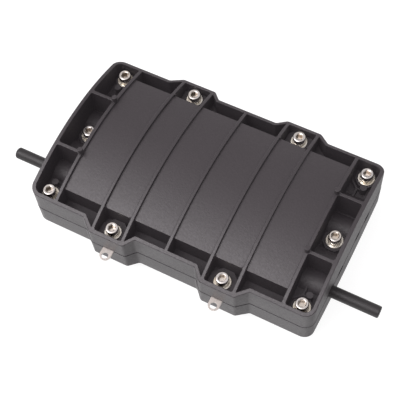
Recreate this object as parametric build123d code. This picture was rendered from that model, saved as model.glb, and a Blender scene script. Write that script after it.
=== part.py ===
from build123d import *
import os
import math

# =====================================================================
# Horizontal fibre splice closure.
# Modelled about the parting plane (z = 0) and the centre of the screw
# pattern, then moved so that the origin is the bottom centre of the box.
# X runs along the closure, Y across it, Z up.  Millimetres.
# =====================================================================

# ---- outline at the parting plane ----
BODY_X = 164.8          # half length
BODY_Y = 96.3           # half width between the screw bulges
BULGE_Y = 106.8         # half width over the bulges
BULGE_OUT_IN = 44.4     # bulge flat, end nearer the middle
BULGE_OUT_FAR = 84.4    # bulge flat, far end
BULGE_FOOT_IN = 35.0    # flank foot, nearer the middle
BULGE_FOOT_FAR = 96.6   # flank foot, far end
CORNER_R = 11.5
BULGE_R = 4.5
BASE_PROUD = 0.25       # base stands proud of the cover at the parting line
DRAFT_COVER = 0.2       # degrees
DRAFT_BASE = 0.5

# ---- inner outline of the rim ----
RIM_X = 160.4
RIM_Y = 92.2
RIM_BULGE_Y = 102.5
RIM_OUT_IN = 46.0
RIM_OUT_FAR = 82.9
RIM_FOOT_IN = 36.2
RIM_FOOT_FAR = 95.5

# ---- crowns ----
COVER_CREST = 48.4
COVER_R = 251.0
BASE_CREST = 38.2
BASE_R = 403.0
SEAM_GAP = 0.1          # gasket-held gap between the shells
GROOVE_H = 0.8          # shadow groove above the parting line, long sides
GROOVE_D = 0.9
EDGE_R = 0.45           # rounding along the rib and rim tops

# ---- ribs, plates, walls ----
FLANGE_T = 8.3
RIB_T = 3.5
END_RIB_T = 3.7
RIB_X = (0.0, 46.6, 82.2)
END_RIB_X = 131.8
PLATE_Y = 77.5
RIB_H = 2.8             # rib height over the plate
PLATE_T = 3.0
CAV_X = END_RIB_X - END_RIB_T / 2
CAV_Y = PLATE_Y - 3.0
DIVIDER_Y = 36.7
POST_R = 2.8
COVER_POST_TOP = 52.5
FOOT_DEPTH = 45.0
SMALL_POST = (150.2, 68.4)
SMALL_POST_R = 3.6
SMALL_POST_TOP = 18.7
GUSSET_TOP = 12.4

# ---- screws ----
CORNER_SCREW = (148.0, 82.4)
SIDE_SCREW = (64.4, 92.8)
END_SCREW = (147.3, 0.0)
PAD_TOP = 14.8
PAD_SIDE_A = 14.8       # octagon apothem, long-side pads
PAD_END_A = 11.8
PAD_CORNER_A = 11.0
HOLE_R = 4.5
SCREW_R = 3.95
SCREW_LEN = 30.0
HEAD_R = 6.9
HEAD_H = 8.0
SOCKET_AF = 7.2
SPRING_T = 1.8
SPRING_R = 7.3
WASHER_R = 9.3
WASHER_T = 1.6
WASHER_HOLE_R = 4.2
INSERT_R = 5.5
INSERT_TOP = 2.5
INSERT_LEN = 14.0
BOSS_R = 9.0
BOSS_DEPTH = 19.0

# ---- ports ----
PORT_Y = (21.8, 46.9)
ROD_Y = -46.9
HUMP_R = 16.5
GROM_R = 11.0
GROM_X0, GROM_X1 = 136.2, 153.8
POCKET_X0, POCKET_X1 = 136.0, 154.0
PASS_R = 8.5
SLOT_R = 10.9            # lens-shaped port openings: arc radius and offset
SLOT_OFF = 7.4
NOSE_X = 164.4          # outer face of the blank seals
ROD_R = 6.5
ROD_X0 = 112.0
ROD_END_RIGHT = 219.0
ROD_END_LEFT = 216.6
ROD_HOLE_R = 6.9

# ---- gasket ----
GSK_W = 3.6
GSK_X = 139.0
GSK_Y = 81.5
GSK_D = 3.0
GSK_COLLAR_R = 14.0

# ---- hanger lugs ----
LUG_X = 64.4
LUG_W = 12.6
LUG_T = 2.0
LUG_HOLE_Y = 113.5
LUG_HOLE_R = 3.75
LUG_HOLE_OUT = 0.9      # hole centre beyond the centre of the round end
LUG_IN_Y = 85.0

# ---- trays ----
TRAY_X = 88.0           # half length
TRAY_Y = 54.0           # half width
TRAY_H = 12.0
TRAY_FLOOR = 1.6
TRAY_WALL = 1.6
LOW_TRAY_Z = -7.0
UP_TRAY_Z = 5.5
PIN_X, PIN_Z = -97.0, 11.5
PIN_R = 1.5

LUG_TIP = LUG_HOLE_Y + LUG_W / 2
SHIFT = Pos((ROD_END_LEFT - ROD_END_RIGHT) / 2, (LUG_TIP - BULGE_Y - BASE_PROUD) / 2, FOOT_DEPTH)


def outline(x0, y0, yb, foot_in, out_in, out_far, foot_far, rc, rb):
    """Rounded rectangle with two bulges on each long side."""
    q = [(x0, y0), (foot_far, y0), (out_far, yb), (out_in, yb), (foot_in, y0)]
    pts = q + [(-x, y) for x, y in reversed(q)]
    pts += [(-x, -y) for x, y in q] + [(x, -y) for x, y in reversed(q)]
    face = make_face(Polyline(*pts, close=True))
    corners = [v for v in face.vertices() if abs(v.X) > x0 - 1]
    face = fillet(corners, rc)
    rest = [v for v in face.vertices() if abs(v.X) < foot_far + 1]
    return fillet(rest, rb)


def crown(r_full, crest, less=0.0):
    """Cylinder along X whose top is the crowned surface, lowered by less."""
    return Pos(0, 0, crest - r_full) * Rot(0, 90, 0) * Cylinder(r_full - less, 420)


def slab(x0, x1, y0, y1, z0, z1):
    return Pos((x0 + x1) / 2, (y0 + y1) / 2, (z0 + z1) / 2) * Box(x1 - x0, y1 - y0, z1 - z0)


def rect(x0, x1, y0, y1):
    return Pos((x0 + x1) / 2, (y0 + y1) / 2) * Rectangle(x1 - x0, y1 - y0)


def round_face(face, radii):
    for r in radii:
        try:
            return fillet(face.vertices(), r)
        except Exception:
            continue
    return face


def cyl_x(r, x0, x1, y, z):
    return Pos((x0 + x1) / 2, y, z) * Rot(0, 90, 0) * Cylinder(r, x1 - x0)


def cyl_z(r, z0, z1, x, y):
    return Pos(x, y, (z0 + z1) / 2) * Cylinder(r, z1 - z0)


def octagon(a, z0, z1, x, y):
    return Pos(x, y, z0) * extrude(RegularPolygon(a, 8, major_radius=False, rotation=22.5), z1 - z0)


def four(p):
    return [(sx * p[0], sy * p[1]) for sx in (1, -1) for sy in (1, -1)]


SCREWS = four(CORNER_SCREW) + four(SIDE_SCREW) + [(END_SCREW[0], 0), (-END_SCREW[0], 0)]
PORTS = [(sx, sy * y) for sx in (1, -1) for sy in (1, -1) for y in PORT_Y]


def crown_face(block, r):
    """The face left of the crowned surface, with one loop round each opening."""
    found = [f for f in block.faces() if f.geom_type == GeomType.CYLINDER
             and abs(f.radius - r) < 0.01]
    return max(found, key=lambda f: len(f.inner_wires()))


def round_tops(block, r):
    """Soften the edges of the ribs and of the rim, loop by loop."""
    spots = [w.center() for w in crown_face(block, r).inner_wires()]
    left = 0
    for c in spots:
        loops = crown_face(block, r).inner_wires()
        w = min(loops, key=lambda q: (q.center() - c).length)
        done = False
        for size in (EDGE_R, 0.3):
            try:
                tried = Part() + block.fillet(size, w.edges())
            except Exception:
                continue
            if len(tried.solids()) == 1 and tried.is_valid and 0 < block.volume - tried.volume < 500:
                block = tried
                done = True
                break
        left += not done
        if not done:
            print("loop left sharp near", round(c.X, 1), round(c.Y, 1))
    print("loops rounded:", len(spots) - left, "of", len(spots))
    return block


def half_shell(seam, z_seam, draft, crest, r, post_top):
    """One half of the case, built upwards from the parting plane."""
    block = Pos(0, 0, z_seam) * extrude(seam, 60, taper=draft)
    block = block & crown(r, crest)
    top = block.faces().sort_by(Axis.Z)[-1]
    block = fillet(top.edges(), 0.9)

    # open pockets between the ribs, down to the flange
    inner = outline(RIM_X, RIM_Y, RIM_BULGE_Y, RIM_FOOT_IN, RIM_OUT_IN,
                    RIM_OUT_FAR, RIM_FOOT_FAR, CORNER_R - 3.6, 3.0)
    flat = inner - rect(-CAV_X - END_RIB_T, CAV_X + END_RIB_T, -PLATE_Y, PLATE_Y)
    for x in RIB_X:
        for s in ((1, -1) if x else (1,)):
            flat -= rect(s * x - RIB_T / 2, s * x + RIB_T / 2, -120, 120)
    for s in (1, -1):
        flat -= rect(s * END_RIB_X - END_RIB_T / 2, s * END_RIB_X + END_RIB_T / 2, -120, 120)
        for t in (1, -1):
            x0, x1 = sorted((s * END_RIB_X, s * 170))
            flat -= rect(x0, x1, t * DIVIDER_Y - RIB_T / 2, t * DIVIDER_Y + RIB_T / 2)
    cut = Part()
    for f in flat.faces():
        g = round_face(Sketch() + f, (2.2, 1.6, 1.0))
        cut += Pos(0, 0, FLANGE_T) * extrude(g, 60)

    # plate between the ribs, RIB_H below their tops
    xs = [-END_RIB_X, -82.2, -46.6, 0.0, 46.6, 82.2, END_RIB_X]
    roof = Part()
    for a, b in zip(xs[:-1], xs[1:]):
        ta = (END_RIB_T if abs(a) == END_RIB_X else RIB_T) / 2
        tb = (END_RIB_T if abs(b) == END_RIB_X else RIB_T) / 2
        roof += slab(a + ta, b - tb, -PLATE_Y - 0.01, PLATE_Y + 0.01, 10, 70)
    roof -= crown(r, crest, RIB_H)
    block = block - cut - roof
    block = round_tops(block, r)

    # pads, humps, posts
    add = Part()
    floor = FLANGE_T - 0.5
    for x, y in four(SIDE_SCREW):
        add += octagon(PAD_SIDE_A, floor, PAD_TOP, x, y)
    for s in (1, -1):
        add += octagon(PAD_END_A, floor, PAD_TOP, s * END_SCREW[0], 0)
    for x, y in four(CORNER_SCREW):
        add += octagon(PAD_CORNER_A, floor, PAD_TOP, x, y)
        sx, sy = math.copysign(1, x), math.copysign(1, y)
        x0, x1 = sorted((sx * 142.3, sx * 144.1))
        y0, y1 = sorted((sy * 57.0, sy * 68.6))
        add += slab(x0, x1, y0, y1, floor, GUSSET_TOP)
        x0, x1 = sorted((sx * 143.2, sx * SMALL_POST[0]))
        y0, y1 = sorted((sy * 67.5, sy * 69.3))
        add += slab(x0, x1, y0, y1, floor, GUSSET_TOP)
        add += Pos(sx * 139.1, sy * 72.2, (floor + GUSSET_TOP) / 2) * Rot(0, 0, sx * sy * -42.8) * \
            Box(11.6, 1.8, GUSSET_TOP - floor)
        add += cyl_z(SMALL_POST_R, floor, SMALL_POST_TOP, sx * SMALL_POST[0], sy * SMALL_POST[1])
    for sx, y in PORTS:
        x0, x1 = sorted((sx * (END_RIB_X - 0.5), sx * (RIM_X + 1.0)))
        add += cyl_x(HUMP_R, x0, x1, y, 0) & slab(x0, x1, y - 20, y + 20, z_seam, 30)
    keep = Pos(0, 0, z_seam) * extrude(inner, 60)
    add = add & keep
    block = block + add
    for x, y in four((END_RIB_X, DIVIDER_Y)):
        post = cyl_z(POST_R, 20, post_top, x, y)
        post = fillet(post.edges().sort_by(Axis.Z)[-1], 0.6)
        block = block + post

    # inside of the case
    cav = slab(-CAV_X, CAV_X, -CAV_Y, CAV_Y, -5, 60)
    cav = fillet(cav.edges().filter_by(Axis.Z), 6.0)
    cav = cav & crown(r, crest, RIB_H + PLATE_T)
    return block - cav


# =====================================================================
# Cover
# =====================================================================
seam_cover = outline(BODY_X, BODY_Y, BULGE_Y, BULGE_FOOT_IN, BULGE_OUT_IN,
                     BULGE_OUT_FAR, BULGE_FOOT_FAR, CORNER_R, BULGE_R)
upper_shell = half_shell(seam_cover, SEAM_GAP, DRAFT_COVER, COVER_CREST, COVER_R, COVER_POST_TOP)
inset = offset(seam_cover, amount=-GROOVE_D)
groove = Pos(0, 0, 0) * extrude(rect(-160, 160, -120, 120) - inset, SEAM_GAP + GROOVE_H)
upper_shell -= groove
for x, y in SCREWS:
    upper_shell -= cyl_z(HOLE_R, -1, PAD_TOP + 1, x, y)
for sx, y in PORTS:
    x0, x1 = sorted((sx * POCKET_X0, sx * POCKET_X1))
    upper_shell -= cyl_x(GROM_R + 0.3, x0, x1, y, 0)
    x0, x1 = sorted((sx * (CAV_X - 1), sx * (POCKET_X0 + 1)))
    upper_shell -= cyl_x(PASS_R, x0, x1, y, 0)
    x0, x1 = sorted((sx * (POCKET_X1 - 1), sx * (BODY_X + 3)))
    if y == ROD_Y:
        upper_shell -= cyl_x(ROD_HOLE_R, x0, x1, y, 0)
    else:
        upper_shell -= cyl_x(SLOT_R, x0, x1, y, -SLOT_OFF)

# =====================================================================
# Base: the same half, upside down, with the grooves and the bosses
# =====================================================================
seam_base = outline(BODY_X + BASE_PROUD, BODY_Y + BASE_PROUD, BULGE_Y + BASE_PROUD,
                    BULGE_FOOT_IN - 0.2, BULGE_OUT_IN - 0.2, BULGE_OUT_FAR + 0.2,
                    BULGE_FOOT_FAR + 0.2, CORNER_R + BASE_PROUD, BULGE_R)
lower = half_shell(seam_base, 0.0, DRAFT_BASE, BASE_CREST, BASE_R, FOOT_DEPTH)
for x, y in SCREWS:
    lower += cyl_z(BOSS_R, FLANGE_T - 1, BOSS_DEPTH, x, y)
lower_shell = mirror(lower, about=Plane.XY)
for x, y in SCREWS:
    lower_shell -= cyl_z(INSERT_R, -INSERT_TOP - INSERT_LEN, 1, x, y)
for sx, y in PORTS:
    x0, x1 = sorted((sx * POCKET_X0, sx * POCKET_X1))
    lower_shell -= cyl_x(GROM_R, x0, x1, y, 0)
    x0, x1 = sorted((sx * (CAV_X - 1), sx * (POCKET_X0 + 1)))
    lower_shell -= cyl_x(PASS_R, x0, x1, y, 0)
    x0, x1 = sorted((sx * (POCKET_X1 - 1), sx * (BODY_X + 3)))
    if y == ROD_Y:
        lower_shell -= cyl_x(ROD_HOLE_R, x0, x1, y, 0)
    else:
        lower_shell -= cyl_x(SLOT_R, x0, x1, y, SLOT_OFF)


def gasket(top):
    """Loop seal with half collars under the port seals."""
    loop = Rectangle(2 * GSK_X + GSK_W, 2 * GSK_Y + GSK_W)
    loop = fillet(loop.vertices(), 8.0)
    hole = Rectangle(2 * GSK_X - GSK_W, 2 * GSK_Y - GSK_W)
    hole = fillet(hole.vertices(), 8.0 - GSK_W)
    g = Pos(0, 0, -GSK_D) * extrude(loop - hole, GSK_D + top)
    for sx, y in PORTS:
        x0, x1 = sorted((sx * (GSK_X - GSK_W / 2), sx * (GSK_X + GSK_W / 2)))
        g += cyl_x(GSK_COLLAR_R, x0, x1, y, 0) & slab(x0, x1, y - 20, y + 20, -20, 0)
    return g


lower_shell -= gasket(1.0)
perimeter_gasket = gasket(SEAM_GAP)
for sx, y in PORTS:
    x0, x1 = sorted((sx * (GSK_X - 4), sx * (GSK_X + 4)))
    perimeter_gasket -= cyl_x(GROM_R, x0, x1, y, 0)
    # the strip is cut away over each port seal
    perimeter_gasket -= slab(x0, x1, y - GROM_R - 0.5, y + GROM_R + 0.5, 0, 2)

# recesses for the hanger lugs
for s in (1, -1):
    lower_shell -= slab(s * LUG_X - LUG_W / 2 - 0.1, s * LUG_X + LUG_W / 2 + 0.1,
                        -115, -LUG_IN_Y + 0.1, -LUG_T, 1)

# pillars for the bracket and saddles for the rods, moulded on the floor
BRK_X = 70.0
BRK_Y = 37.0
BRK_FOOT_Z = -24.0
PILLAR_TOP = BRK_FOOT_Z - 2.0
pillars = Part()
for x, y in four((BRK_X, BRK_Y)):
    pillars += cyl_z(5.0, -37.0, PILLAR_TOP, x, y)
CLAMP_X = 119.5
CLAMP_TOP = -1.0
for s in (1, -1):
    pillars += slab(s * CLAMP_X - 5.5, s * CLAMP_X + 5.5, ROD_Y - 16.0, ROD_Y + 16.0, -34.5, CLAMP_TOP)
    pillars += slab(s * CLAMP_X - 5.5, s * CLAMP_X + 5.5, -29.0, -13.0, -36.0, -12.0)
# none of them reaches below the floor plate
pillars = pillars & mirror(crown(BASE_R, BASE_CREST, RIB_H + 1.5), about=Plane.XY)
lower_shell += pillars
for x, y in four((BRK_X, BRK_Y)):
    lower_shell -= cyl_z(1.95, -32.6, -20.0, x, y)
for s in (1, -1):
    lower_shell -= cyl_x(ROD_R, s * CLAMP_X - 8, s * CLAMP_X + 8, ROD_Y, 0)
    for d in (-12.0, 12.0):
        lower_shell -= cyl_z(1.95, -13.0, 0.0, s * CLAMP_X, ROD_Y + d)
    lower_shell -= cyl_z(2.45, -24.0, -10.0, s * CLAMP_X, -21.0)

# =====================================================================
# Screws and washers (one of each, then copied to the ten places)
# =====================================================================
head_z = PAD_TOP + WASHER_T + SPRING_T
head = Pos(0, 0, head_z + HEAD_H / 2) * Cylinder(HEAD_R, HEAD_H)
head = fillet(head.edges().filter_by(GeomType.CIRCLE).sort_by(Axis.Z)[-1], 1.2)
head = chamfer(head.edges().filter_by(GeomType.CIRCLE).sort_by(Axis.Z)[0], 0.6)
head -= Pos(0, 0, head_z + HEAD_H - 5.0) * extrude(
    RegularPolygon(SOCKET_AF / 2, 6, major_radius=False), 6)
# countersink at the mouth of the hex socket
head -= Pos(0, 0, head_z + HEAD_H - 0.3) * Cone(SOCKET_AF * 0.5, SOCKET_AF * 0.5774 + 0.3, 0.62)
shank = cyl_z(SCREW_R, head_z - SCREW_LEN, head_z + 0.2, 0, 0)
shank = chamfer(shank.edges().filter_by(GeomType.CIRCLE).sort_by(Axis.Z)[0], 0.8)
screw = head + shank

spring = cyl_z(SPRING_R, PAD_TOP + WASHER_T, head_z, 0, 0)
spring = chamfer(spring.edges().filter_by(GeomType.CIRCLE), 0.4)
spring -= cyl_z(WASHER_HOLE_R, 0, 40, 0, 0)
gap = Pos(SPRING_R - 1.5, 0, head_z - SPRING_T / 2) * Rot(18, 0, 0) * Box(6.0, 1.0, 8.0)
spring = Rot(0, 0, -70) * (spring - gap)

washer = cyl_z(WASHER_R, PAD_TOP, PAD_TOP + WASHER_T, 0, 0) - cyl_z(WASHER_HOLE_R, 0, 40, 0, 0)
washer = fillet(washer.edges().filter_by(GeomType.CIRCLE).group_by(SortBy.RADIUS)[-1].sort_by(Axis.Z)[-1], 0.5)

ins = cyl_z(INSERT_R, -INSERT_TOP - INSERT_LEN, -INSERT_TOP, 0, 0)
ins -= cyl_z(INSERT_R + 1, -INSERT_TOP - 8.2, -INSERT_TOP - 5.8, 0, 0) - \
    cyl_z(INSERT_R - 0.6, -30, 0, 0, 0)
ins -= cyl_z(4.0, -40, 1, 0, 0)


def at_screws(shape, spin=0.0):
    return [Pos(x, y, 0) * Rot(0, 0, spin * i) * shape for i, (x, y) in enumerate(SCREWS)]


cover_screws = at_screws(screw, 17.0)
spring_washers = at_screws(spring, 0.0)
flat_washers = at_screws(washer)
threaded_inserts = at_screws(ins)

# =====================================================================
# Hanger lugs
# =====================================================================


def lug(x):
    f = rect(x - LUG_W / 2, x + LUG_W / 2, -LUG_HOLE_Y, -LUG_IN_Y)
    f = fillet(f.vertices().sort_by(Axis.Y)[-2:], 2.0)
    f += Pos(x, -LUG_HOLE_Y) * Circle(LUG_W / 2)
    f -= Pos(x, -LUG_HOLE_Y - LUG_HOLE_OUT) * Circle(LUG_HOLE_R)
    f -= Pos(x, -SIDE_SCREW[1]) * Circle(HOLE_R)
    s = Pos(0, 0, -LUG_T) * extrude(f, LUG_T)
    return s


hanger_lug_left = lug(-LUG_X)
hanger_lug_right = lug(LUG_X)

# =====================================================================
# Rods and port seals
# =====================================================================



def plug_rod(x_end, nose):
    rod = cyl_x(ROD_R, ROD_X0, x_end, ROD_Y, 0)
    ends = rod.edges().filter_by(GeomType.CIRCLE).sort_by(Axis.X)
    rod = fillet(ends[0], 1.0)
    ends = rod.edges().filter_by(GeomType.CIRCLE).sort_by(Axis.X)
    return fillet(ends[-1], nose)


plug_rod_right = plug_rod(ROD_END_RIGHT, 1.5)
plug_rod_left = mirror(plug_rod(ROD_END_LEFT, 2.6), about=Plane.YZ)


def grommet(y, bore):
    """Ribbed rubber seal, three ridges on a slimmer core."""
    g = cyl_x(GROM_R - 1.2, GROM_X0, GROM_X1, y, 0)
    span = (GROM_X1 - GROM_X0 - 4.4) / 2
    for i in range(3):
        x = GROM_X0 + i * span
        g += cyl_x(GROM_R, x, x + 4.4, y, 0)
    if bore:
        g -= cyl_x(ROD_R, GROM_X0 - 1, GROM_X1 + 1, y, 0)
    else:
        # lens-shaped nose that fills the port
        g += cyl_x(SLOT_R - 0.3, GROM_X1 - 3, NOSE_X, y, -SLOT_OFF) & \
            cyl_x(SLOT_R - 0.05, GROM_X1 - 3, NOSE_X, y, SLOT_OFF)
    return g


rod_grommet_right = grommet(ROD_Y, True)
rod_grommet_left = mirror(rod_grommet_right, about=Plane.YZ)
blanks = {}
for i, y in enumerate((-PORT_Y[0], PORT_Y[0], PORT_Y[1])):
    g = grommet(y, False)
    blanks["blank_grommet_r%d" % (i + 1)] = g
    blanks["blank_grommet_l%d" % (i + 1)] = mirror(g, about=Plane.YZ)

# =====================================================================
# Tray bracket: folded sheet with two ears for the hinge
# =====================================================================
SHEET = 2.0
PLATE_Z = LOW_TRAY_Z
bracket = slab(-84, 84, -30, 30, PLATE_Z - SHEET, PLATE_Z)
for s in (1, -1):
    y0, y1 = sorted((s * 30, s * (30 - SHEET)))
    bracket += slab(-84, 84, y0, y1, BRK_FOOT_Z - SHEET, PLATE_Z)
    for t in (1, -1):
        y0, y1 = sorted((s * 28, s * 43))
        bracket += slab(t * BRK_X - 7, t * BRK_X + 7, y0, y1, BRK_FOOT_Z - SHEET, BRK_FOOT_Z)
    # ears: an arm along the end, then an upright with the pin hole
    y0, y1 = sorted((s * 42.0, s * 44.0))
    bracket += slab(-102, -92, y0, y1, PLATE_Z - SHEET, PIN_Z + 3.5)
    y0, y1 = sorted((s * 28.0, s * 44.0))
    bracket += slab(-102, -92, y0, y1, PLATE_Z - SHEET, PLATE_Z)
bracket += slab(-102, -80, -30, 30, PLATE_Z - SHEET, PLATE_Z)
bracket -= slab(-50, 50, -16, 16, PLATE_Z - 5, PLATE_Z + 1)
for s in (1, -1):
    for t in (1, -1):
        bracket -= cyl_z(2.2, BRK_FOOT_Z - 5, BRK_FOOT_Z + 3, t * BRK_X, s * BRK_Y)
bracket -= Pos(PIN_X, 0, PIN_Z) * Rot(90, 0, 0) * Cylinder(PIN_R, 120)
for t in (1, -1):
    bracket -= cyl_z(1.4, PLATE_Z - 5, PLATE_Z + 1, t * 58.0, 0)
tray_bracket = bracket


def pan_screw(x, y, z, r, length, head_r, head_h):
    """Pan-head screw, head resting on z, cross recess in the head."""
    h = cyl_z(head_r, z, z + head_h, x, y)
    h = fillet(h.edges().filter_by(GeomType.CIRCLE).sort_by(Axis.Z)[-1], head_h * 0.4)
    s = h + cyl_z(r, z - length, z + 0.1, x, y)
    a = Pos(x, y, z + head_h) * Box(head_r * 1.1, head_r * 0.3, head_h)
    b = Pos(x, y, z + head_h) * Box(head_r * 0.3, head_r * 1.1, head_h)
    return s - a - b


bracket_screws = [pan_screw(x, y, BRK_FOOT_Z, 1.95, 8.0, 4.0, 2.6) for x, y in four((BRK_X, BRK_Y))]

# =====================================================================
# Splice trays
# =====================================================================


def tray(z):
    out = fillet(Rectangle(2 * TRAY_X, 2 * TRAY_Y).vertices(), 16.0)
    ins_ = fillet(Rectangle(2 * (TRAY_X - TRAY_WALL), 2 * (TRAY_Y - TRAY_WALL)).vertices(), 16.0 - TRAY_WALL)
    t = Pos(0, 0, z) * extrude(out, TRAY_FLOOR)
    t += Pos(0, 0, z + TRAY_FLOOR - 0.01) * extrude(out - ins_, TRAY_H - TRAY_FLOOR + 0.01)
    # fibre hubs
    for sx in (1, -1):
        hub = Pos(sx * 52.0, 0) * (SlotOverall(52.0, 34.0, rotation=90) - SlotOverall(48.8, 30.8, rotation=90))
        t += Pos(0, 0, z + TRAY_FLOOR - 0.01) * extrude(hub, 7.5)
        for sy in (1, -1):
            y0, y1 = sorted((sy * 25.0, sy * 33.0))
            t += slab(sx * 52 - 4, sx * 52 + 4, y0, y1, z + 7.6, z + 9.09)
    # retaining fingers along the wall
    for sx in (-60.0, -20.0, 20.0, 60.0):
        for sy in (1, -1):
            y0, y1 = sorted((sy * (TRAY_Y - TRAY_WALL / 2), sy * (TRAY_Y - 9.0)))
            t += slab(sx - 5, sx + 5, y0, y1, z + TRAY_H - 1.4, z + TRAY_H)
    for sx in (1, -1):
        for y in (-26.0, 26.0):
            x0, x1 = sorted((sx * (TRAY_X - TRAY_WALL / 2), sx * (TRAY_X - 9.0)))
            t += slab(x0, x1, y - 5, y + 5, z + TRAY_H - 1.4, z + TRAY_H)
    # fibre entries at both ends
    for sx in (1, -1):
        for sy in (1, -1):
            x0, x1 = sorted((sx * (TRAY_X - 4), sx * (TRAY_X + 1)))
            t -= slab(x0, x1, sy * 11 - 4, sy * 11 + 4, z + TRAY_FLOOR, z + TRAY_H + 1)
    return t


splice_tray_lower = tray(LOW_TRAY_Z)
for t_ in (1, -1):
    splice_tray_lower -= cyl_z(1.6, LOW_TRAY_Z - 1, LOW_TRAY_Z + 3, t_ * 58.0, 0)
splice_tray_upper = tray(UP_TRAY_Z)
for s in (1, -1):
    y0, y1 = sorted((s * 35.0, s * 41.6))
    arm = slab(PIN_X, -TRAY_X + 1.0, y0, y1, PIN_Z - 3.2, PIN_Z + 3.2)
    arm += Pos(PIN_X, s * 38.3, PIN_Z) * Rot(90, 0, 0) * Cylinder(3.2, 6.6)
    splice_tray_upper += arm
splice_tray_upper -= Pos(PIN_X, 0, PIN_Z) * Rot(90, 0, 0) * Cylinder(PIN_R + 0.05, 100)

tray_screws = [pan_screw(t_ * 58.0, 0, LOW_TRAY_Z + TRAY_FLOOR, 1.4, 5.5, 2.8, 1.8) for t_ in (1, -1)]
pin = Pos(PIN_X, 0, PIN_Z) * Rot(90, 0, 0) * Cylinder(PIN_R, 94.0)
tray_hinge_pin = chamfer(pin.edges().filter_by(GeomType.CIRCLE), 0.3)


def holder(z):
    """Comb block: twelve cradles in one row."""
    b = slab(-22, 22, -38, 38, z, z + 6.5)
    for i in range(12):
        y = -33.0 + 6.0 * i
        b -= slab(-23, 23, y - 1.5, y + 1.5, z + 1.6, z + 8)
    b -= slab(-8, 8, -39, 39, z + 3.2, z + 8)
    return b


splice_holder_lower = holder(LOW_TRAY_Z + TRAY_FLOOR)
splice_holder_upper = holder(UP_TRAY_Z + TRAY_FLOOR)

# =====================================================================
# Saddle straps over the rods and anchors for a strength member
# =====================================================================


def saddle(s):
    x0, x1 = s * CLAMP_X - 5.0, s * CLAMP_X + 5.0
    ring = cyl_x(ROD_R + 1.6, x0, x1, ROD_Y, 0) & slab(x0, x1, ROD_Y - 9, ROD_Y + 9, CLAMP_TOP, 9)
    st = ring + slab(x0, x1, ROD_Y - 15.5, ROD_Y + 15.5, CLAMP_TOP, CLAMP_TOP + 1.6)
    st -= cyl_x(ROD_R, x0 - 1, x1 + 1, ROD_Y, 0)
    for d in (-12.0, 12.0):
        st -= cyl_z(2.2, CLAMP_TOP - 1, CLAMP_TOP + 3, s * CLAMP_X, ROD_Y + d)
    return st


cable_clamp_right = saddle(1)
cable_clamp_left = saddle(-1)
clamp_screws = [pan_screw(s * CLAMP_X, ROD_Y + d, CLAMP_TOP + 1.6, 1.95, 11.0, 3.2, 2.4)
                for s in (1, -1) for d in (-12.0, 12.0)]


def anchor(s):
    x0, x1 = s * CLAMP_X - 5.0, s * CLAMP_X + 5.0
    a = slab(x0, x1, -28.0, -14.0, -12.0, -10.4)
    a += slab(x0, x1, -28.0, -26.4, -12.0, -4.0)
    a -= cyl_z(2.6, -14, -8, s * CLAMP_X, -21.0)
    a -= Pos(s * CLAMP_X, -27.2, -6.8) * Rot(90, 0, 0) * Cylinder(1.3, 6)
    return a


strength_anchor_right = anchor(1)
strength_anchor_left = anchor(-1)
anchor_screws = [pan_screw(s * CLAMP_X, -21.0, -10.4, 2.45, 12.0, 4.2, 3.0) for s in (1, -1)]

# =====================================================================
# Write one file per node
# =====================================================================
NODES = {
    "upper_shell": upper_shell,
    "lower_shell": lower_shell,
    "perimeter_gasket": perimeter_gasket,
    "cover_screws": cover_screws,
    "spring_washers": spring_washers,
    "flat_washers": flat_washers,
    "threaded_inserts": threaded_inserts,
    "hanger_lug_left": hanger_lug_left,
    "hanger_lug_right": hanger_lug_right,
    "plug_rod_left": plug_rod_left,
    "plug_rod_right": plug_rod_right,
    "rod_grommet_left": rod_grommet_left,
    "rod_grommet_right": rod_grommet_right,
    "tray_bracket": tray_bracket,
    "bracket_screws": bracket_screws,
    "splice_tray_lower": splice_tray_lower,
    "splice_tray_upper": splice_tray_upper,
    "tray_screws": tray_screws,
    "tray_hinge_pin": tray_hinge_pin,
    "splice_holder_lower": splice_holder_lower,
    "splice_holder_upper": splice_holder_upper,
    "cable_clamp_left": cable_clamp_left,
    "cable_clamp_right": cable_clamp_right,
    "clamp_screws": clamp_screws,
    "strength_anchor_left": strength_anchor_left,
    "strength_anchor_right": strength_anchor_right,
    "anchor_screws": anchor_screws,
}
NODES.update(blanks)

os.makedirs("parts", exist_ok=True)
for name, shape in NODES.items():
    items = shape if isinstance(shape, list) else [shape]
    solids = []
    for it in items:
        solids += [s for s in (SHIFT * it).solids()]
    out = solids[0] if len(solids) == 1 else Compound(children=solids)
    export_step(out, "parts/%s.step" % name)
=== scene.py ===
import bpy
import bmesh
import math
from mathutils import Matrix, Vector, Quaternion

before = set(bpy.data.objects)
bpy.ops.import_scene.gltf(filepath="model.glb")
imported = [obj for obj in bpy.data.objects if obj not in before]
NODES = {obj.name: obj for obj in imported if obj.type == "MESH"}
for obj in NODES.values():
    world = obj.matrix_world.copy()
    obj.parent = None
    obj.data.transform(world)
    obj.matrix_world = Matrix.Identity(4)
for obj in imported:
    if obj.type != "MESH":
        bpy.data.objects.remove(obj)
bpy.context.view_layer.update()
scene = bpy.context.scene

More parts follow.
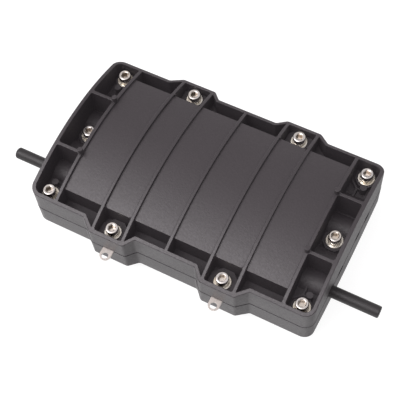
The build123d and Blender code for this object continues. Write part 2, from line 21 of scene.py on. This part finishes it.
# =====================================================================
# Camera at the photograph's angle
# =====================================================================
RIGHT = Vector((0.8865354795, 0.4600217818, -0.0493419352))
DOWN = Vector((0.3840981262, -0.7912530366, -0.4758017040))
AHEAD = Vector((-0.2579211037, 0.4028629946, -0.8781674737))
CAM_POS = Vector((0.268681, -0.434633, 0.981869))
cam_data = bpy.data.cameras.new("Camera")
cam_data.sensor_width = 36.0
cam_data.lens = 88.668
cam_data.shift_x = 0.62 / 400
cam_data.shift_y = -0.63 / 400
cam_data.clip_start = 0.05
cam_data.clip_end = 40.0
cam = bpy.data.objects.new("Camera", cam_data)
scene.collection.objects.link(cam)
rot = Matrix((RIGHT, -DOWN, -AHEAD)).transposed()
cam.matrix_world = Matrix.Translation(CAM_POS) @ rot.to_4x4()
scene.camera = cam
scene.view_settings.view_transform = "Standard"
scene.view_settings.look = "None"
scene.view_settings.exposure = 0.0
scene.view_settings.gamma = 1.0


# =====================================================================
# Small helpers for node trees
# =====================================================================
class Tree:
    """Thin wrapper that adds and links shader nodes."""

    def __init__(self, name):
        self.mat = bpy.data.materials.new(name)
        self.mat.use_nodes = True
        self.t = self.mat.node_tree
        self.t.nodes.clear()
        self.out = self.add("ShaderNodeOutputMaterial")

    def add(self, kind, **props):
        n = self.t.nodes.new(kind)
        for k, v in props.items():
            setattr(n, k, v)
        return n

    def link(self, a, b):
        self.t.links.new(a, b)

    def coords(self):
        if not hasattr(self, "_co"):
            self._co = self.add("ShaderNodeTexCoord").outputs["Object"]
        return self._co

    def noise(self, scale, detail=2.0, rough=0.5, vec=None, stretch=None):
        n = self.add("ShaderNodeTexNoise")
        n.inputs["Scale"].default_value = scale
        n.inputs["Detail"].default_value = detail
        n.inputs["Roughness"].default_value = rough
        v = vec if vec is not None else self.coords()
        if stretch:
            m = self.add("ShaderNodeMapping")
            m.inputs["Scale"].default_value = stretch
            self.link(v, m.inputs["Vector"])
            v = m.outputs["Vector"]
        self.link(v, n.inputs["Vector"])
        return n.outputs["Fac"]

    def ramp(self, fac, stops):
        r = self.add("ShaderNodeValToRGB")
        els = r.color_ramp.elements
        while len(els) < len(stops):
            els.new(0.5)
        for e, (p, c) in zip(els, stops):
            e.position = p
            e.color = (c, c, c, 1) if isinstance(c, (int, float)) else (*c, 1)
        self.link(fac, r.inputs["Fac"])
        return r.outputs["Color"]

    def maprange(self, fac, a, b, c, d, clamp=True):
        n = self.add("ShaderNodeMapRange")
        n.clamp = clamp
        for i, v in zip((1, 2, 3, 4), (a, b, c, d)):
            n.inputs[i].default_value = v
        self.link(fac, n.inputs[0])
        return n.outputs[0]

    def math(self, op, a, b=None):
        n = self.add("ShaderNodeMath", operation=op)
        for i, v in enumerate((a, b)):
            if v is None:
                continue
            if isinstance(v, (int, float)):
                n.inputs[i].default_value = v
            else:
                self.link(v, n.inputs[i])
        return n.outputs[0]

    def mix(self, fac, a, b):
        n = self.add("ShaderNodeMix", data_type="RGBA")
        for s, v in ((n.inputs[0], fac), (n.inputs[6], a), (n.inputs[7], b)):
            if isinstance(v, (int, float)):
                s.default_value = v
            elif isinstance(v, tuple):
                s.default_value = (*v, 1)
            else:
                self.link(v, s)
        return n.outputs[2]

    def bump(self, height, strength, distance, normal=None):
        n = self.add("ShaderNodeBump")
        n.inputs["Strength"].default_value = strength
        n.inputs["Distance"].default_value = distance
        self.link(height, n.inputs["Height"])
        if normal is not None:
            self.link(normal, n.inputs["Normal"])
        return n.outputs["Normal"]

    def principled(self, **vals):
        p = self.add("ShaderNodeBsdfPrincipled")
        names = {"color": "Base Color", "metallic": "Metallic", "rough": "Roughness", "ior": "IOR",
                 "spec": "Specular IOR Level", "coat": "Coat Weight", "coat_rough": "Coat Roughness",
                 "alpha": "Alpha", "normal": "Normal", "aniso": "Anisotropic",
                 "transmission": "Transmission Weight"}
        for k, v in vals.items():
            s = p.inputs[names[k]]
            if isinstance(v, (int, float)):
                s.default_value = v
            elif isinstance(v, tuple):
                s.default_value = (*v, 1)
            else:
                self.link(v, s)
        self.link(p.outputs[0], self.out.inputs["Surface"])
        return p


def dress(mat, *names):
    for n in names:
        me = NODES[n].data
        me.materials.clear()
        me.materials.append(mat)


# =====================================================================
# Materials
# =====================================================================


def shell_plastic(name, base, rough, seed, spec=0.44):
    """Moulded charcoal plastic: fine spark grain, faint flow clouds, a few dust specks, painted shade on steep
    walls and in pockets, and a faint painted glow.
    """
    t = Tree(name)
    off = t.add("ShaderNodeMapping")
    off.inputs["Location"].default_value = (seed, seed * 0.7, -seed)
    t.link(t.coords(), off.inputs["Vector"])
    v = off.outputs["Vector"]
    cloud = t.noise(9.0, 3.0, 0.55, v)
    grain = t.noise(1500.0, 2.0, 0.6, v)
    mottle = t.noise(240.0, 3.0, 0.6, v)
    speck = t.noise(430.0, 2.0, 0.7, v)
    flow = t.noise(26.0, 4.0, 0.6, v, stretch=(0.35, 1.0, 1.0))
    dark = tuple(c * 0.90 for c in base)
    light = tuple(c * 1.10 for c in base)
    col = t.mix(t.maprange(cloud, 0.3, 0.7, 0.0, 1.0), dark, light)
    col = t.mix(t.maprange(mottle, 0.35, 0.65, 0.0, 0.30), col, tuple(c * 1.22 for c in base))
    col = t.mix(t.maprange(speck, 0.35, 0.65, 0.0, 0.5), col, tuple(c * 0.72 for c in base))
    # sparse pale dust
    vor = t.add("ShaderNodeTexVoronoi", feature="F1")
    vor.inputs["Scale"].default_value = 85.0
    vor.inputs["Randomness"].default_value = 1.0
    t.link(v, vor.inputs["Vector"])
    dot = t.maprange(vor.outputs["Distance"], 0.035, 0.055, 1.0, 0.0)
    pick = t.noise(31.0, 1.0, 0.5, v)
    dot = t.math("MULTIPLY", dot, t.maprange(pick, 0.66, 0.70, 0.0, 0.5))
    col = t.mix(dot, col, (0.30, 0.29, 0.28))
    r = t.math("ADD", t.maprange(flow, 0.3, 0.7, rough - 0.035, rough + 0.035, True),
               t.maprange(speck, 0.35, 0.65, -0.045, 0.045))
    # steep walls get painted shade, darkest on the end walls, and are rougher the more they face along the length
    nrm = t.add("ShaderNodeSeparateXYZ")
    t.link(t.add("ShaderNodeTexCoord").outputs["Normal"], nrm.inputs[0])
    steep = t.maprange(t.math("ABSOLUTE", nrm.outputs["Z"]), 0.15, 0.45, 1.0, 0.0)
    facing = t.maprange(t.math("ABSOLUTE", nrm.outputs["X"]), 0.35, 0.85, 0.0, 0.20)
    r = t.math("ADD", r, t.math("MULTIPLY", steep, facing))
    painted_steep_shade = t.math("MULTIPLY", steep, t.maprange(t.math("ABSOLUTE", nrm.outputs["X"]), 0.35, 0.85, 0.35, 0.45))
    col = t.mix(painted_steep_shade, col, tuple(c * 0.25 for c in base))
    # deep pockets get a rougher skin, and painted shade darkens their colour
    ao = t.add("ShaderNodeAmbientOcclusion", samples=8)
    ao.inputs["Distance"].default_value = 0.03
    pocket_rough_and_shade = t.maprange(ao.outputs["AO"], 0.35, 0.80, 1.0, 0.0)
    r = t.math("ADD", r, t.math("MULTIPLY", pocket_rough_and_shade, 0.22))
    col = t.mix(t.math("MULTIPLY", pocket_rough_and_shade, 0.28), col, tuple(c * 0.35 for c in base))
    n = t.bump(flow, 0.10, 0.0006)
    n = t.bump(mottle, 0.14, 0.00012, n)
    n = t.bump(speck, 0.55, 0.00030, n)
    n = t.bump(grain, 0.22, 0.00003, n)
    p = t.principled(color=col, rough=r, ior=1.5, spec=spec, normal=n)
    # painted glow: a faint pinkish emission lifts the whole shell, so its dark recesses are less black
    p.inputs["Emission Color"].default_value = (1.0, 0.86, 0.96, 1)
    p.inputs["Emission Strength"].default_value = 0.0105
    return t.mat


def metal(name, base, rough, scale, axis_stretch=None, var=0.10, bump=0.05, warm=0.0, painted_shade=0.0, reach=0.004,
          bare=1.0):
    """Bare metal with machining marks and warm tints; where it is hemmed in, painted shade darkens its upright
    faces and a painted warm reflection tints its floors.
    """
    t = Tree(name)
    n1 = t.noise(scale, 3.0, 0.6, stretch=axis_stretch)
    n2 = t.noise(60.0, 3.0, 0.6)
    a = tuple(c * (1 - var) for c in base)
    b = tuple(min(1.0, c * (1 + var)) for c in base)
    col = t.mix(t.maprange(n1, 0.3, 0.7, 0.0, 1.0), a, b)
    if warm:
        col = t.mix(t.maprange(n2, 0.42, 0.70, 0.0, warm), col, (base[0], base[1] * 0.86, base[2] * 0.62))
    r = t.maprange(n1, 0.25, 0.75, rough * 0.75, rough * 1.3)
    if painted_shade:
        ao = t.add("ShaderNodeAmbientOcclusion", samples=8)
        ao.inputs["Distance"].default_value = reach
        floor_reflection_mask = t.maprange(ao.outputs["AO"], 0.35, 0.75, 1.0, 0.0)
        painted_hollow_shade = t.maprange(ao.outputs["AO"], 0.55, 0.95, 1.0, 0.0)
        nrm = t.add("ShaderNodeSeparateXYZ")
        co = t.add("ShaderNodeTexCoord")
        t.link(co.outputs["Normal"], nrm.inputs[0])
        upright = t.maprange(nrm.outputs["Z"], 0.5, 0.8, 1.0, 0.0)
        # painted reflection: hemmed-in floors take a warmer, brighter tint
        painted_floor_reflection = t.mix(t.math("MULTIPLY", floor_reflection_mask, 0.35), col, (min(1.0, base[0] * 1.15), base[1] * 1.02, base[2] * 0.80))
        # painted shade: upright faces turn dark brown where they are hemmed in
        shaded_wall_colour = t.mix(t.math("MULTIPLY", painted_hollow_shade, painted_shade), col, (0.085, 0.066, 0.050))
        col = t.mix(upright, painted_floor_reflection, shaded_wall_colour)
    t.principled(color=col, metallic=bare, rough=r, normal=t.bump(n1, bump, 0.0002))
    return t.mat


def soft(name, base, rough, grain=900.0, strength=0.2, spec=0.5):
    t = Tree(name)
    g = t.noise(grain, 2.0, 0.6)
    c = t.noise(30.0, 3.0, 0.55)
    col = t.mix(t.maprange(c, 0.3, 0.7, 0.0, 1.0), tuple(v * 0.86 for v in base), tuple(v * 1.14 for v in base))
    r = t.maprange(c, 0.3, 0.7, rough - 0.05, rough + 0.05)
    t.principled(color=col, rough=r, spec=spec, normal=t.bump(g, strength, 0.00006))
    return t.mat


cover_mat = shell_plastic("cover_plastic", (0.0400, 0.0345, 0.0375), 0.36, 0.0)
base_mat = shell_plastic("base_plastic", (0.0400, 0.0350, 0.0378), 0.36, 3.7, 0.40)
dress(cover_mat, "upper_shell")
dress(base_mat, "lower_shell")

screw_mat = metal("stainless_turned", (0.80, 0.765, 0.735), 0.17, 500.0, (1, 1, 0.15), 0.10, 0.05, 0.25, 1.0, 0.006)
washer_mat = metal("stainless_stamped", (0.90, 0.855, 0.775), 0.22, 260.0, None, 0.12, 0.08, 0.45, 0.2, 0.004, 0.60)
spring_mat = metal("spring_steel", (0.92, 0.86, 0.76), 0.22, 300.0, (1, 1, 0.3), 0.14, 0.08, 0.5, 0.1, 0.004, 0.50)
lug_mat = metal("lug_sheet_steel", (0.62, 0.575, 0.54), 0.40, 700.0, (1.0, 0.06, 1.0), 0.07, 0.06, 0.1,
                0.0, 0.004, 0.45)
bracket_mat = metal("galvanised_sheet", (0.62, 0.63, 0.64), 0.38, 90.0, None, 0.12, 0.05, 0.0)
brass_mat = metal("brass_turned", (0.80, 0.58, 0.27), 0.22, 400.0, (1, 1, 0.2), 0.10, 0.05, 0.0)
dress(screw_mat, "cover_screws", "bracket_screws", "tray_screws", "clamp_screws", "anchor_screws", "tray_hinge_pin")
dress(washer_mat, "flat_washers")
dress(spring_mat, "spring_washers")
dress(lug_mat, "hanger_lug_left", "hanger_lug_right")
dress(bracket_mat, "tray_bracket", "cable_clamp_left", "cable_clamp_right")
dress(brass_mat, "threaded_inserts", "strength_anchor_left", "strength_anchor_right")

rubber_mat = soft("seal_rubber", (0.008, 0.008, 0.009), 0.90, 700.0, 0.3, 0.005)
dress(rubber_mat, "perimeter_gasket", "rod_grommet_left", "rod_grommet_right",
      *["blank_grommet_%s%d" % (s, i) for s in "lr" for i in (1, 2, 3)])
tray_mat = soft("tray_plastic", (0.70, 0.70, 0.68), 0.42, 700.0, 0.12)
dress(tray_mat, "splice_tray_lower", "splice_tray_upper")
holder_mat = soft("holder_plastic", (0.035, 0.036, 0.040), 0.5, 600.0, 0.2)
dress(holder_mat, "splice_holder_lower", "splice_holder_upper")
rod_mat = soft("rod_plastic", (0.020, 0.0178, 0.0186), 0.50, 1200.0, 0.15)
dress(rod_mat, "plug_rod_left", "plug_rod_right")

# =====================================================================
# Floor and lights
# =====================================================================
floor_me = bpy.data.meshes.new("floor")
S = 6.0
floor_me.from_pydata([(-S, -S, 0), (S, -S, 0), (S, S, 0), (-S, S, 0)], [], [(0, 1, 2, 3)])
floor = bpy.data.objects.new("floor", floor_me)
scene.collection.objects.link(floor)
ft = Tree("floor_white")
fp = ft.principled(color=(0.25, 0.25, 0.25), rough=0.9, spec=0.0)
fp.inputs["Emission Color"].default_value = (1.0, 1.0, 1.0, 1)
fp.inputs["Emission Strength"].default_value = 0.88
floor_me.materials.append(ft.mat)

# a studio dome: even white, one broad soft source overhead, and a dim side
world = bpy.data.worlds.new("studio")
scene.world = world
world.use_nodes = True
wt = world.node_tree
wt.nodes.clear()
w_out = wt.nodes.new("ShaderNodeOutputWorld")
w_bg = wt.nodes.new("ShaderNodeBackground")
w_co = wt.nodes.new("ShaderNodeTexCoord")
wt.links.new(w_bg.outputs[0], w_out.inputs[0])


def w_math(op, a, b):
    n = wt.nodes.new("ShaderNodeMath")
    n.operation = op
    for i, v in enumerate((a, b)):
        if isinstance(v, (int, float)):
            n.inputs[i].default_value = v
        else:
            wt.links.new(v, n.inputs[i])
    return n.outputs[0]


def lobe(direction, sigma_deg, height):
    """Smooth bump of radiance about one direction of the sky."""
    n = wt.nodes.new("ShaderNodeVectorMath")
    n.operation = "DOT_PRODUCT"
    n.inputs[1].default_value = Vector(direction).normalized()
    wt.links.new(w_co.outputs["Generated"], n.inputs[0])
    k = 1.0 / math.radians(sigma_deg) ** 2
    e = w_math("MULTIPLY", w_math("SUBTRACT", n.outputs["Value"], 1.0), k)
    return w_math("MULTIPLY", w_math("POWER", math.e, e), height)


sky = w_math("ADD", lobe((-0.35, -0.41, 0.85), 16.0, 6.2), 0.60)
sky = w_math("SUBTRACT", sky, lobe((0.66, -0.68, 0.42), 24.0, 0.45))
sky = w_math("MAXIMUM", w_math("SUBTRACT", sky, lobe((-0.15, -0.93, 0.34), 22.0, 0.62)), 0.06)
w_rgb = wt.nodes.new("ShaderNodeCombineColor")
wt.links.new(sky, w_rgb.inputs[0])
wt.links.new(w_math("MULTIPLY", sky, 0.965), w_rgb.inputs[1])
wt.links.new(w_math("MULTIPLY", sky, 0.985), w_rgb.inputs[2])
wt.links.new(w_rgb.outputs[0], w_bg.inputs["Color"])
w_bg.inputs["Strength"].default_value = 1.0
